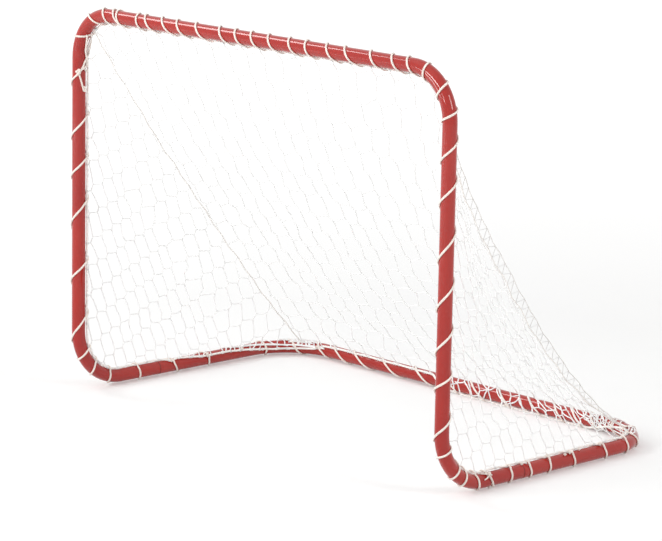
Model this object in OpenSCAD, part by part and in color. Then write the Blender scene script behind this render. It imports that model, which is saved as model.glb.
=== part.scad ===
// Floor hockey goal: a front hoop and a rear base of bent steel tube that push together, a net of three
// panels, and the cords that lace the net to the tubes.
// Origin: centre of the footprint, on the floor. +Z is up, and the mouth of the goal faces -Y.

/* [Frame] */
// Outside width across the uprights
frame_w = 780; // [620:10:1000]
// Height of the crossbar's top above the floor
frame_h = 580; // [460:10:760]
// Depth from the front of the uprights to the back of the rear bar
frame_d = 455; // [380:5:620]
// Outside diameter of the tube
tube_d = 20; // [16:0.5:26]
// Wall thickness of the tube
tube_wall = 1; // [0.8:0.1:1.4]

/* [Bends] */
// Centre-line radius of the top corners
top_bend_r = 68; // [50:2:90]
// Centre-line radius of the bends at the feet of the uprights
foot_bend_r = 80; // [60:2:90]
// Centre-line radius of the rear corners
rear_bend_r = 86; // [60:2:110]

/* [Push-fit joints] */
// Distance from the front of the uprights to the joint in each side tube
joint_y = 162; // [150:2:200]
// Length of the reduced tube end inside the leg
spigot_len = 45; // [30:1:60]
// Radial clearance between the reduced end and the leg's bore
spigot_gap = 0.2; // [0.1:0.05:0.4]
// Length of the taper from full to reduced diameter
neck_len = 2; // [1:0.5:5]

/* [Lacing] */
// Thickness of the lacing cord
lace_d = 3; // [2:0.25:4]
// Clearance between the lacing and the tube
lace_gap = 0.3; // [0.2:0.1:0.6]
// Turns of lacing over the crossbar
crossbar_turns = 19; // [14:1:22]
// Turns of lacing on the right upright
right_post_turns = 8; // [6:1:10]
// Turns of lacing on the left upright
left_post_turns = 7; // [6:1:10]
// Turns of lacing round the right foot and side tube
right_side_turns = 11; // [8:1:12]
// Turns of lacing round the left foot and side tube
left_side_turns = 8; // [7:1:12]
// Turns of lacing over the rear bar and its corners
rear_turns = 19; // [16:1:22]

/* [Edge and seam cords] */
// Diameter of the cord along the edge of the net
edge_d = 3.5; // [2.5:0.25:5]
// Diameter of the cord in the seams between the net's panels
seam_d = 2.5; // [2:0.25:3.5]
// Clearance between cords that lie on each other
cord_gap = 0.35; // [0.3:0.05:0.5]

/* [Net] */
// Thickness of the netting twine
net_d = 2; // [1.5:0.25:3]
// Columns of meshes in the back panel
back_columns = 11; // [7:2:13]
// Rows of meshes in the back panel
back_rows = 9; // [6:1:11]
// Columns of meshes in a side panel
side_columns = 4; // [3:1:5]
// Rows of meshes in a side panel
side_rows = 7; // [5:1:9]
// Sag of the left seam below a straight line
left_sag = 26; // [0:2:60]
// Sag of the right seam below a straight line
right_sag = 50; // [0:2:60]

// Part of a mesh's width by which a rung pulls a strand
strand_pull = 0.18; // [0.05:0.01:0.25]
// Length of the top corner that a side panel is gathered on
gather_len = 30; // [20:2:40]

/* [Knots] */
// Thickness of the cord in the knots
knot_cord = 2.2; // [1.5:0.1:2.6]
// Turns of the left upright's lacing above the end knot
turns_above_knot = 1; // [1:1:3]
// Length of the end knot's loose tail
tail_len = 20; // [12:1:26]

/* [Hidden] */
tube_r = tube_d / 2;
bore_r = tube_r - tube_wall;
spigot_r = bore_r - spigot_gap;
$fn = 48;
knot_fn = 8;

// The lacing is a square-section cord of lace_d's area, with ring_count rings to a turn. Its inner flats
// clear the tube, and its outer flats are what the base stands on, cut flat by a tenth of the cord.
ring_count = 8;
ring_step = 360 / ring_count;
lace_half = lace_d * sqrt(PI) / 4;
flat_cos = cos(ring_step / 2);
lace_r = (tube_r + lace_gap) / flat_cos + lace_half;
lace_flat_r = (lace_r + lace_half) * flat_cos;
foot_cut = lace_d / 10;
start_angle = -1.5 * ring_step;

// Places of pieces that meet end to end are kept to a hundredth of a millimetre, so that the ends match
function hundredths(v) = round(v * 100) / 100;

// Axis lines of the tubes. The path starts at the left joint and runs forward, up, over and back again.
axis_x = frame_w / 2 - tube_r;
axis_top = frame_h - tube_r;
axis_base = hundredths(lace_flat_r - foot_cut);
axis_rear = frame_d - tube_d;
axis_joint = joint_y - tube_r;

// Distances from the tube's axis, at 45 degrees inwards and towards the net
edge_r = edge_d / 2;
seam_r = seam_d / 2;
net_r = net_d / 2;
inward = sqrt(0.5);
edge_axis = lace_flat_r + cord_gap + edge_r;
edge_in = hundredths(edge_axis * inward);
net_axis = edge_axis + edge_r + cord_gap;
seam_axis = net_axis + seam_r;

// The knots lie against the tube between turns of lacing
knot_ring_r = knot_cord * 0.6;
knot_r = knot_ring_r + knot_cord / 2;
knot_axis = tube_r + lace_gap + knot_r;

// Footprint of the whole goal, which sets the origin
front_reach = knot_axis + knot_r;
rear_reach = axis_rear + lace_flat_r;
centre_y = (rear_reach - front_reach) / 2;

// Stretches of the path: straight ones have a length, bends a centre-line radius and turn 90 degrees
STRAIGHT = 0;
CORNER = 1;
LIFT = 2;
leg = axis_joint - foot_bend_r;
post = axis_top - top_bend_r - axis_base - foot_bend_r;
bar = 2 * (axis_x - top_bend_r);
side = axis_rear - rear_bend_r - axis_joint - neck_len;
rear = 2 * (axis_x - rear_bend_r);
stretches = [
    [STRAIGHT, leg], [LIFT, foot_bend_r], [STRAIGHT, post], [CORNER, top_bend_r], [STRAIGHT, bar],
    [CORNER, top_bend_r], [STRAIGHT, post], [LIFT, foot_bend_r], [STRAIGHT, leg],
    [STRAIGHT, neck_len], [STRAIGHT, side], [CORNER, rear_bend_r], [STRAIGHT, rear], [CORNER, rear_bend_r],
    [STRAIGHT, side], [STRAIGHT, neck_len]
];
HOOP = [0 : 8];
BASE = [10 : 14];
EDGE_BENDS = [1, 2, 3, 4, 5, 6, 7, 11, 12, 13];
EDGE_SIDES = [8, 14];
function arc(r) = r * PI / 2;
function stretch_len(i) = stretches[i][0] == STRAIGHT ? stretches[i][1] : arc(stretches[i][1]);
function start_of(i) = i == 0 ? 0 : start_of(i - 1) + stretch_len(i - 1);
starts = [for (i = [0 : len(stretches)]) start_of(i)];
path_len = starts[len(stretches)];

// A frame is [point, tangent, outward normal], and its third direction is tangent x normal: to the front
// on the hoop, and down on the base.
function third(f) = cross(f[1], f[2]);
function advance(f, kind, r, s) =
    kind == STRAIGHT ? [f[0] + f[1] * s, f[1], f[2]] :
    let (a = s / r * 180 / PI)
    kind == CORNER ? [
        f[0] - f[2] * r + (f[2] * cos(a) + f[1] * sin(a)) * r,
        f[1] * cos(a) - f[2] * sin(a),
        f[2] * cos(a) + f[1] * sin(a)
    ] :
    let (up = -third(f)) [
        f[0] + up * r + (-up * cos(a) + f[1] * sin(a)) * r,
        f[1] * cos(a) + up * sin(a),
        f[2]
    ];
function frames(i, f) =
    i == len(stretches) ? [f] :
    concat([f], frames(i + 1, advance(f, stretches[i][0], stretches[i][1], stretch_len(i))));
start_frames = frames(0, [[-axis_x, axis_joint, axis_base], [0, -1, 0], [-1, 0, 0]]);
function stretch_at(s, i = 0) = i == len(stretches) - 1 || s < starts[i + 1] ? i : stretch_at(s, i + 1);
function path_at(s) =
    let (w = (s % path_len + path_len) % path_len, i = stretch_at(w))
    advance(start_frames[i], stretches[i][0], stretches[i][1], w - starts[i]);

// A point beside the path: a inwards, b towards the net
function beside(s, a, b) = let (f = path_at(s)) f[0] - f[2] * a - third(f) * b;
function unit(v) = v / norm(v);
function mix(p, q, t) = p + (q - p) * t;

module centred() {
    translate([0, -centre_y, 0]) children();
}

// Puts the children's X, Y and Z axes on the given ones
module oriented(o, x, y) {
    z = cross(x, y);
    multmatrix([
        [x.x, y.x, z.x, o.x],
        [x.y, y.y, z.y, o.y],
        [x.z, y.z, z.z, o.z],
        [0, 0, 0, 1]
    ]) children();
}

// One stretch of tube or cord along the path, a inwards and b towards the net, with a 2D section as child.
// A straight one may run on past its own length.
module run(i, a = 0, b = 0, length = 0) {
    f = start_frames[i];
    r = stretches[i][1];
    if (stretches[i][0] == STRAIGHT)
        oriented(f[0] - f[2] * a - third(f) * b, f[2], third(f)) linear_extrude(max(r, length)) children();
    if (stretches[i][0] == CORNER)
        oriented(f[0] - f[2] * r, f[2], f[1])
            translate([0, 0, b]) rotate_extrude(angle = 90) translate([r - a, 0]) children();
    if (stretches[i][0] == LIFT)
        oriented(f[0] - third(f) * r, third(f), f[1])
            translate([0, 0, -a]) rotate_extrude(angle = 90) translate([r - b, 0]) children();
}

module tube_section() {
    difference() {
        circle(tube_r);
        circle(bore_r);
    }
}

module front_hoop() {
    color("firebrick") centred() {
        for (i = HOOP) run(i) tube_section();
    }
}

// The reduced end of the base tube, along Z from the joint: a taper on the base's side, which leaves a fine
// groove at the joint, and a straight end inside the leg
module spigot() {
    rotate_extrude() polygon([
        [tube_r, -neck_len], [spigot_r, 0], [spigot_r, spigot_len],
        [spigot_r - tube_wall, spigot_len], [spigot_r - tube_wall, 0], [bore_r, -neck_len]
    ]);
}

module rear_base() {
    right = path_at(starts[9]);
    left = path_at(0);
    color("firebrick") centred() {
        for (i = BASE) run(i) tube_section();
        oriented(right[0], right[2], -third(right)) spigot();
        oriented(left[0], left[2], third(left)) spigot();
    }
}

// The cord runs straight past the joints, where the path has four stretches in line
module edge_cord() {
    color("whitesmoke") centred() {
        for (i = EDGE_BENDS) run(i, edge_in, edge_in) circle(edge_r);
        for (i = EDGE_SIDES) run(i, edge_in, edge_in, leg + neck_len + side) circle(edge_r);
    }
}

// Swept cords: a ring is a list of points, and the rings are joined by triangles and closed at both ends
module swept(rings) {
    sides = len(rings[0]);
    last = (len(rings) - 1) * sides;
    polyhedron(
        [for (ring = rings) each ring],
        concat(
            [for (r = [0 : len(rings) - 2]) for (j = [0 : sides - 1])
                let (p = r * sides + j, q = r * sides + (j + 1) % sides)
                each [[p, q + sides, q], [p, p + sides, q + sides]]],
            [for (j = [1 : sides - 2]) [0, j, j + 1]],
            [for (j = [1 : sides - 2]) [last, last + j + 1, last + j]]
        )
    );
}

// Round rings of a cord along a list of points, square to its run
function cord_rings(points, d, sides) = [
    for (i = [0 : len(points) - 1])
        let (
            along = unit(points[min(i + 1, len(points) - 1)] - points[max(i - 1, 0)]),
            x = unit(cross(along, abs(along.x) < 0.9 ? [1, 0, 0] : [0, 1, 0])),
            y = cross(along, x)
        )
        [for (j = [0 : sides - 1]) points[i] + (x * cos(360 * j / sides) + y * sin(360 * j / sides)) * d / 2]
];

// Lacing: where each length of it starts and stops on the path, and its turns
lace_stops = [
    starts[14] - path_len, starts[2], (starts[3] + starts[4]) / 2, (starts[5] + starts[6]) / 2,
    starts[7], starts[11], starts[14]
];
lace_turns = [
    left_side_turns, left_post_turns, crossbar_turns, right_post_turns, right_side_turns, rear_turns
];
LEFT_SIDE = 0;
LEFT_POST = 1;
CROSSBAR = 2;
RIGHT_POST = 3;
RIGHT_SIDE = 4;
REAR = 5;
mean_pitch = path_len / (lace_turns * [1, 1, 1, 1, 1, 1]);
function lace_pitch(part) = (lace_stops[part + 1] - lace_stops[part]) / lace_turns[part];

// A place on the lacing is [point, outward direction, run direction]
function lace_place(s, angle, pitch) =
    let (
        f = path_at(s),
        out = f[2] * cos(angle) + third(f) * sin(angle),
        round = third(f) * cos(angle) - f[2] * sin(angle)
    )
    [f[0] + out * lace_r, out, unit(f[1] * pitch / (2 * PI) + round * lace_r)];
function moved(place, d) = [place[0] + place[2] * d, place[1], place[2]];

// Each length starts and ends with a straight bit one cord thickness long, where it meets the next one
function lace_places(part) =
    let (
        rings = lace_turns[part] * ring_count,
        pitch = lace_pitch(part),
        first = lace_place(lace_stops[part], start_angle, mean_pitch),
        last = lace_place(lace_stops[part + 1], start_angle, mean_pitch)
    )
    concat(
        [first, moved(first, lace_d)],
        [for (k = [1 : rings - 1])
            lace_place(lace_stops[part] + pitch * k / ring_count, start_angle + ring_step * k, pitch)],
        [moved(last, -lace_d), last]
    );
function on_floor(p) = [p.x, p.y, max(p.z, 0)];
function lace_ring(place) =
    let (x = place[1] * lace_half, y = cross(place[2], place[1]) * lace_half)
    [for (corner = [x + y, y - x, -x - y, x - y]) on_floor(place[0] + corner)];

// Least gap between a length of lacing and its own next turns, measured between the corners of its section
function self_gap(places) = min([
    for (i = [0 : len(places) - ring_count / 2 - 1])
        for (j = [i + ring_count / 2 : min(i + 2 * ring_count, len(places) - 1)])
            norm(places[i][0] - places[j][0]) - 2 * lace_half * sqrt(2)
]);

module lacing(part, label) {
    places = lace_places(part);
    echo(str(label, ": least gap to itself ", self_gap(places), " mm"));
    color("white") centred() swept([for (place = places) lace_ring(place)]);
}

// Place of a point on a length of lacing where it crosses the given side of the tube, after some whole turns
function crossing(part, turn, angle) =
    lace_stops[part] + lace_pitch(part) * (turn + (angle - start_angle) / 360);
function on_tube(s, angle, r) = let (f = path_at(s)) f[0] + (f[2] * cos(angle) + third(f) * sin(angle)) * r;

FRONT = 90;
TOP = 270;
HALF_TURN = 0.5;

// A knot is two loops of cord drawn tight through each other
module loop(r, cord_r) {
    rotate_extrude($fn = knot_fn) translate([r, 0]) circle(cord_r, $fn = knot_fn);
}
module knot() {
    loop(knot_ring_r, knot_cord / 2);
    rotate([90, 0, 0]) loop(knot_ring_r, knot_cord / 2);
}

// The end knot lies under a turn of lacing, and its tail slants down over the front of the upright to a
// small loop at its inner side
tail_r = knot_cord * 0.4;
tail_loop_r = tail_r * 2;
tail_end_angle = 122;
module end_knot() {
    turn = left_post_turns - 1 - turns_above_knot;
    slope = atan(lace_pitch(LEFT_POST) / (2 * PI * lace_r));
    below = lace_half + lace_gap + cord_gap + knot_r;
    s = crossing(LEFT_POST, turn, FRONT) - below * cos(slope);
    angle = FRONT + below * sin(slope) / knot_axis * 180 / PI;
    start = on_tube(s, angle, knot_axis);
    end = on_tube(s - tail_len, tail_end_angle, tube_r + lace_gap + tail_r);
    along = unit(end - start);
    out = unit(end - path_at(s - tail_len)[0]);
    flat = unit(cross(along, out));
    color("white") centred() {
        translate(start) knot();
        oriented(start, flat, cross(along, flat))
            linear_extrude(norm(end - start)) circle(tail_r, $fn = knot_fn);
        oriented(end - cross(out, flat) * tail_loop_r, flat, cross(out, flat)) loop(tail_loop_r, tail_r);
    }
}

// Tie knots sit on top of the side tubes, half a turn from where the lacing crosses there: the length of
// lacing and the share of its turns before each
ties = [[RIGHT_SIDE, 0.4], [RIGHT_SIDE, 0.75], [RIGHT_SIDE, 0.88], [LEFT_SIDE, 0.25], [LEFT_SIDE, 0.5]];
module tie_knots() {
    color("white") centred() {
        for (tie = ties)
            translate(on_tube(
                crossing(tie[0], floor(tie[1] * lace_turns[tie[0]]) - HALF_TURN, TOP), TOP, knot_axis
            )) knot();
    }
}

// Seams run from halfway round the top corners to halfway round the rear corners
seam_top = (starts[3] + starts[4]) / 2;
seam_rear = (starts[13] + starts[14]) / 2 - path_len;
seam_top_right = (starts[5] + starts[6]) / 2;
seam_rear_right = (starts[11] + starts[12]) / 2;
function seam_end(s) = beside(s, seam_axis * inward, seam_axis * inward);
seam_line = unit(seam_end(seam_rear) - seam_end(seam_top));

// How far round a bend the edge of a panel lies from a seam, to be a given distance from the seam's line
function bend_shift(s, r, distance) =
    let (c = seam_line * path_at(s)[1])
    distance / sqrt(1 - c * c) * r / (r - net_axis * inward);

// Sag of a point t of the way down a line from p to q, square to it and towards the inside of the goal
function sagged(p, q, t, sag) =
    let (line = q - p)
    mix(p, q, t) + unit([0, line.z, -line.y]) * sag * 4 * t * (1 - t);
seam_steps = 10;
seam_sides = 5;
function seam_points(sag) = [
    for (i = [0 : seam_steps]) sagged(seam_end(seam_top), seam_end(seam_rear), i / seam_steps, sag)
];
module seam_cord(sag) {
    color("whitesmoke") centred() swept(cord_rings(seam_points(sag), seam_d, seam_sides));
}

// Panels of the net are Coons patches: a point on one is set by its four edges, s across and t down
function patch(top, bottom, left, right, s, t) =
    mix(left(t), right(t), s) + mix(top(s), bottom(s), t)
    - mix(mix(top(0), top(1), s), mix(bottom(0), bottom(1), s), t);

back_distance = seam_r + cord_gap + net_r;
back_top_shift = bend_shift(seam_top, top_bend_r, back_distance);
back_rear_shift = bend_shift(seam_rear, rear_bend_r, back_distance);
function back_edge(s, from, to) = let (d = net_axis * inward) beside(mix(from, to, s), d, d);
back_top = function (s) back_edge(s, seam_top + back_top_shift, seam_top_right - back_top_shift);
back_bottom = function (s)
    back_edge(s, seam_rear - back_rear_shift + path_len, seam_rear_right + back_rear_shift);
back_left = function (t) sagged(back_top(0), back_bottom(0), t, left_sag);
back_right = function (t) sagged(back_top(1), back_bottom(1), t, right_sag);
function back_point(s, t) = patch(back_top, back_bottom, back_left, back_right, s, t);

// The side panels are worked out on the left, and the right one is turned over
function side_edge(s) = beside(s, edge_in, edge_in + edge_r + cord_gap);
side_foot = (starts[1] + starts[2]) / 2;
side_top_end = seam_top - bend_shift(seam_top, top_bend_r, seam_r);
side_rear_end = seam_rear + bend_shift(seam_rear, rear_bend_r, seam_r);
side_top = function (s) side_edge(mix(seam_top - gather_len, side_top_end, s));
side_bottom = function (s) side_edge(mix(side_foot, side_rear_end, s));
side_post = function (t) side_edge(mix(seam_top - gather_len, side_foot, t));
function side_point(s, t, sag) =
    patch(side_top, side_bottom, side_post, function (u) sagged(side_top(1), side_bottom(1), u, sag), s, t);

// Netting with staggered six-sided meshes. Strands run down it, and rungs join each to its neighbours in
// turn, and pull it to and fro. The twine is a rhombus in section: a ridge on each face, and an edge to
// each mesh. The first face looks the given way.
function spans(i, steps) = i % 2 == 0 ?
    [for (k = [0 : 2 : steps - 2]) [i, k, k + 2]] :
    concat([[i, 0, 1]], [for (k = [1 : 2 : steps - 3]) [i, k, k + 2]], [[i, steps - 1, steps]]);

module netting(columns, rows, point, facing) {
    steps = 2 * rows;
    small = 0.001;
    strand = function (i, k) i == 0 || i == columns || k == 0 || k == steps ? i / columns :
        (i + ((i + k) % 2 == 0 ? strand_pull : -strand_pull)) / columns;
    across = function (s, t) (point(s + small, t) - point(s - small, t)) / (2 * small);
    down = function (s, t) (point(s, t + small) - point(s, t - small)) / (2 * small);
    knots = [for (i = [0 : columns]) for (k = [0 : steps]) point(strand(i, k), k / steps)];
    cells = [for (i = [0 : columns - 1]) each spans(i, steps)];
    corners = [for (c = cells) concat(
        [for (k = [c[1] : c[2]]) [c[0], k, 1, k == c[1] ? 1 : k == c[2] ? -1 : 0]],
        [for (k = [c[2] : -1 : c[1]]) [c[0] + 1, k, -1, k == c[1] ? 1 : k == c[2] ? -1 : 0]]
    )];
    edges = [for (cell = corners) for (c = cell) let (s = strand(c[0], c[1]), t = c[1] / steps)
        point(s + c[2] * net_r / norm(across(s, t)), t + c[3] * net_r / norm(down(s, t)))];
    count = len(knots);
    top = function (i, k) i * (steps + 1) + k;
    bottom = function (i, k) count + top(i, k);
    quad = function (a, b, c, d) [[a, b, c], [a, c, d]];
    firsts = [for (c = 0, n = 2 * count; c < len(corners); n = n + len(corners[c]), c = c + 1) n];
    polyhedron(
        concat([for (p = knots) p + facing * net_r], [for (p = knots) p - facing * net_r], edges),
        concat(
            [for (c = [0 : len(corners) - 1]) for (j = [0 : len(corners[c]) - 1])
                let (
                    m = (j + 1) % len(corners[c]),
                    a = corners[c][j],
                    b = corners[c][m],
                    p = firsts[c] + j,
                    q = firsts[c] + m
                )
                each concat(
                    quad(top(a[0], a[1]), top(b[0], b[1]), q, p),
                    quad(bottom(b[0], b[1]), bottom(a[0], a[1]), p, q)
                )],
            [for (k = [0 : steps - 1]) each concat(
                quad(top(0, k + 1), top(0, k), bottom(0, k), bottom(0, k + 1)),
                quad(top(columns, k), top(columns, k + 1), bottom(columns, k + 1), bottom(columns, k))
            )],
            [for (i = [0 : columns - 1]) each concat(
                quad(top(i, 0), top(i + 1, 0), bottom(i + 1, 0), bottom(i, 0)),
                quad(top(i + 1, steps), top(i, steps), bottom(i, steps), bottom(i + 1, steps))
            )]
        )
    );
}

module back_net() {
    facing = unit(cross([1, 0, 0], seam_line));
    color("white") centred() netting(back_columns, back_rows, function (s, t) back_point(s, t), facing);
}

module side_net(sag) {
    color("white") centred()
        netting(side_columns, side_rows, function (s, t) side_point(s, t, sag), [-1, 0, 0]);
}

front_hoop();
rear_base();
edge_cord();
back_net();
side_net(left_sag);  // left_net
mirror([1, 0, 0]) side_net(right_sag);  // right_net
seam_cord(left_sag);  // left_seam_cord
mirror([1, 0, 0]) seam_cord(right_sag);  // right_seam_cord
lacing(CROSSBAR, "lacing_crossbar");  // lacing_crossbar
lacing(LEFT_POST, "lacing_left_post");  // lacing_left_post
lacing(RIGHT_POST, "lacing_right_post");  // lacing_right_post
lacing(LEFT_SIDE, "lacing_left_side");  // lacing_left_side
lacing(RIGHT_SIDE, "lacing_right_side");  // lacing_right_side
lacing(REAR, "lacing_rear_bar");  // lacing_rear_bar
end_knot();
tie_knots();
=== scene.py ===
# %% [markdown]
# # A floor hockey goal
#
# The goal is two bent steel tubes that push together, a white net, and the cords that lace the net to the
# tubes. The tubes come ready made from the CAD model, and get their paint here. Everything soft is made
# here in full: cords first, because the net hangs from them, and the knots last.

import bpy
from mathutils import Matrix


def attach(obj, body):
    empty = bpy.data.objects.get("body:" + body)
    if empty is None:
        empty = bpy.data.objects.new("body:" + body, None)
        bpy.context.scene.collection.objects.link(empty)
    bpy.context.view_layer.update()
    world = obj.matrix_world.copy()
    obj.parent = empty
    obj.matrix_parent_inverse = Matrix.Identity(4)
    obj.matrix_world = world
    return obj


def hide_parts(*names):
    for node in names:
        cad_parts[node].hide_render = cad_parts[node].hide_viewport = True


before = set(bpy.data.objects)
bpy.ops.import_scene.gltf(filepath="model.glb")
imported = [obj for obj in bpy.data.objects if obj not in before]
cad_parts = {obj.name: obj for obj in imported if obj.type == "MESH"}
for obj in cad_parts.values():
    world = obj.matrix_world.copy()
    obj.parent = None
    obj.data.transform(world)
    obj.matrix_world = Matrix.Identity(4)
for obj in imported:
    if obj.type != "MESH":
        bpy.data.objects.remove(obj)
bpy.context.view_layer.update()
print("CAD nodes:", sorted(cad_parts))

# %% Tools and units
from bisect import bisect_right
from math import ceil, cos, pi, radians, sin

import bmesh
import bpy
from mathutils import Matrix, Vector, kdtree, noise

MM = 0.001
scene = bpy.context.scene
scene.view_settings.view_transform = "Standard"
noise.seed_set(4)  # without a seed of its own, noise_vector is different on every run

# %% [markdown]
# ## Camera
#
# The goal is seen from the right and a little above, through a long lens, so that its lines stay nearly
# parallel. A camera is placed by its turn about the upright, its dip and its roll, and a matrix holds all
# three without the order of angles that Euler rotation brings.

# %% Camera
turn, dip, roll = 0.81156, 0.20614, 0.01907
lens = bpy.data.cameras.new("camera")
lens.sensor_width = 36
lens.lens = 166.70
camera = bpy.data.objects.new("camera", lens)
scene.collection.objects.link(camera)
camera.matrix_world = (
    Matrix.Translation((3.10111, -3.00447, 1.12068))
    @ Matrix.Rotation(turn, 4, "Z")
    @ Matrix.Rotation(pi / 2 - dip, 4, "X")
    @ Matrix.Rotation(roll, 4, "Z")
)
scene.camera = camera
print("camera looks along", [round(x, 3) for x in camera.matrix_world.col[2][:3]])

# %% [markdown]
# ## Studio
#
# A plain studio has a pale floor that runs into a pale wall. The world can be that wall. It shines softly
# on everything, and shows white to the camera and in the gloss of the paint. The floor is a bmesh grid.
# Its shader is part plain white diffuse, which takes the goal's shadow, and part glow, which only the
# camera and the gloss see, so it reads as white paper without more light on the goal. The lamps reach less
# of the floor further away, so the glow grows with the distance from the goal.

# %% Node helpers
def nodes_of(owner):
    owner.use_nodes = True
    owner.node_tree.nodes.clear()
    return owner.node_tree


def node(tree, kind, values=None, links=None, **settings):
    made = tree.nodes.new("ShaderNode" + kind)
    for key, value in settings.items():
        setattr(made, key, value)
    for key, value in (values or {}).items():
        made.inputs[key].default_value = value
    for key, source in (links or {}).items():
        tree.links.new(source, made.inputs[key])
    return made


def seen_rays(tree):
    rays = node(tree, "LightPath")
    some = node(tree, "Math", links={0: rays.outputs["Is Camera Ray"], 1: rays.outputs["Is Glossy Ray"]},
                operation="MAXIMUM")
    return node(tree, "Math", links={0: some.outputs[0], 1: rays.outputs["Is Transmission Ray"]},
                operation="MAXIMUM")


def two_tone(tree, factor, low, high, first=0.0, last=1.0):
    """A ramp between two colours, driven by a number such as a noise."""
    ramp = node(tree, "ValToRGB", links={"Fac": factor})
    for stop, place, colour in zip(ramp.color_ramp.elements, (first, last), (low, high)):
        stop.position = place
        stop.color = (*colour, 1)
    return ramp.outputs["Color"]


# %% World
world = bpy.data.worlds.new("studio")
scene.world = world
tree = nodes_of(world)
soft = node(tree, "Background", {"Color": (1, 1, 1, 1), "Strength": 0.57})
white = node(tree, "Background", {"Color": (1, 1, 1, 1), "Strength": 1.0})
seen = seen_rays(tree)
both = node(tree, "MixShader", links={0: seen.outputs[0], 1: soft.outputs[0], 2: white.outputs[0]})
node(tree, "OutputWorld", links={"Surface": both.outputs[0]})
print("world:", len(tree.nodes), "nodes")

# %% Floor
def mesh_object(name, bm, *materials):
    mesh = bpy.data.meshes.new(name)
    bm.to_mesh(mesh)
    bm.free()
    made = bpy.data.objects.new(name, mesh)
    scene.collection.objects.link(made)
    for material in materials:
        mesh.materials.append(material)
    return made


paper = bpy.data.materials.new("studio_paper")
tree = nodes_of(paper)
place = node(tree, "TexCoord").outputs["Object"]
grain = node(tree, "TexNoise", {"Scale": 3.0, "Detail": 3.0}, {"Vector": place})
tint = two_tone(tree, grain.outputs["Fac"], (0.78, 0.78, 0.775), (0.80, 0.80, 0.795))
matt = node(tree, "BsdfDiffuse", links={"Color": tint})
away = node(tree, "VectorMath", links={0: place}, operation="LENGTH")
far = node(tree, "MapRange", {"From Min": 0.8, "From Max": 3.5, "To Min": 0.235, "To Max": 0.60},
           {"Value": away.outputs["Value"]})
glow = node(tree, "Emission", {"Color": (1, 1, 1, 1)}, {"Strength": far.outputs["Result"]})
added = node(tree, "AddShader", links={0: matt.outputs[0], 1: glow.outputs[0]})
seen = seen_rays(tree)
chosen = node(tree, "MixShader", links={0: seen.outputs[0], 1: matt.outputs[0], 2: added.outputs[0]})
node(tree, "OutputMaterial", links={"Surface": chosen.outputs[0]})

bm = bmesh.new()
FLOOR_HALF, FLOOR_DROP = 30, 0.3 * MM
bmesh.ops.create_grid(bm, x_segments=2, y_segments=2, size=FLOOR_HALF,
                      matrix=Matrix.Translation((0, 0, -FLOOR_DROP)))
ground = mesh_object("studio_floor", bm, paper)
print("floor:", [round(x, 1) for x in ground.dimensions])

# %% [markdown]
# ## Lights
#
# Glossy tube shows its shape by what it reflects. The world gives most of the light, evenly, and a weak sun
# with a very wide angle lets the goal throw a soft shadow. Five soft boxes stand round the goal: low ones in
# front for the uprights, higher ones at the sides for the crossbar and the base. Each draws one long thin
# streak in the enamel, which is what makes paint look wet. No lamp is strong, so the white net doesn't clip.

# %% Lights
AIM = Vector((0, 0, 0.3))


def lamp(name, kind, place, energy, **settings):
    light = bpy.data.lights.new(name, kind)
    light.energy = energy
    for key, value in settings.items():
        setattr(light, key, value)
    made = bpy.data.objects.new(name, light)
    scene.collection.objects.link(made)
    made.location = place
    made.rotation_euler = (AIM - Vector(place)).to_track_quat("-Z", "Y").to_euler()
    made.visible_camera = False
    return made


lamp("sky_panel", "SUN", (-1.0, -1.6, 4.0), 0.2, angle=radians(50))
lamp("front_box", "AREA", (-0.5, -3.0, 1.75), 36, shape="RECTANGLE", size=1.5, size_y=0.45)
lamp("middle_box", "AREA", (0.42, -3.05, 1.15), 6, shape="RECTANGLE", size=0.5, size_y=0.35)
lamp("right_box", "AREA", (3.2, 0.2, 2.1), 33, shape="RECTANGLE", size=0.85, size_y=1.4)
lamp("left_box", "AREA", (-2.6, -1.1, 2.6), 19, shape="RECTANGLE", size=0.8, size_y=0.9)
lamp("low_box", "AREA", (-1.6, -2.7, 0.45), 9, shape="RECTANGLE", size=0.5, size_y=0.4)

# %% [markdown]
# ## Enamel
#
# The tubes are dipped or sprayed with red enamel. Enamel is a coloured layer under a clear shiny skin, so
# the shader is a plain base with a coat. Baked paint is never quite flat: a fine noise in the bump gives
# the "orange peel", and a slow noise changes the colour a little where the coat is thinner. Rubbing from
# the cords leaves faint dull marks, which are a stretched noise in the roughness.

# %% Enamel
enamel = bpy.data.materials.new("red_enamel")
tree = nodes_of(enamel)
place = node(tree, "TexCoord").outputs["Object"]
slow = node(tree, "TexNoise", {"Scale": 9.0, "Detail": 4.0, "Roughness": 0.55}, {"Vector": place})
red = two_tone(tree, slow.outputs["Fac"], (0.360, 0.0135, 0.0095), (0.430, 0.0225, 0.0135), 0.3, 0.7)
rub = node(tree, "TexNoise", {"Scale": 55.0, "Detail": 6.0, "Roughness": 0.7, "Distortion": 0.6},
           {"Vector": place})
dull = node(tree, "MapRange", {"From Min": 0.56, "From Max": 0.74, "To Min": 0.24, "To Max": 0.40},
            {"Value": rub.outputs["Fac"]})
peel = node(tree, "TexNoise", {"Scale": 420.0, "Detail": 2.0}, {"Vector": place})
skin = node(tree, "Bump", {"Strength": 0.12, "Distance": 0.0004}, {"Height": peel.outputs["Fac"]})
paint = node(tree, "BsdfPrincipled",
             {"Metallic": 0.0, "IOR": 1.5, "Specular IOR Level": 0.05,
              "Coat Weight": 0.85, "Coat Roughness": 0.035, "Coat IOR": 1.5},
             {"Base Color": red, "Roughness": dull.outputs["Result"], "Normal": skin.outputs["Normal"]})
node(tree, "OutputMaterial", links={"Surface": paint.outputs[0]})

for name in ("front_hoop", "rear_base"):
    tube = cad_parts[name]
    tube.data.materials.clear()
    tube.data.materials.append(enamel)
    print(name, "painted,", len(tube.data.polygons), "triangles")

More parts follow.
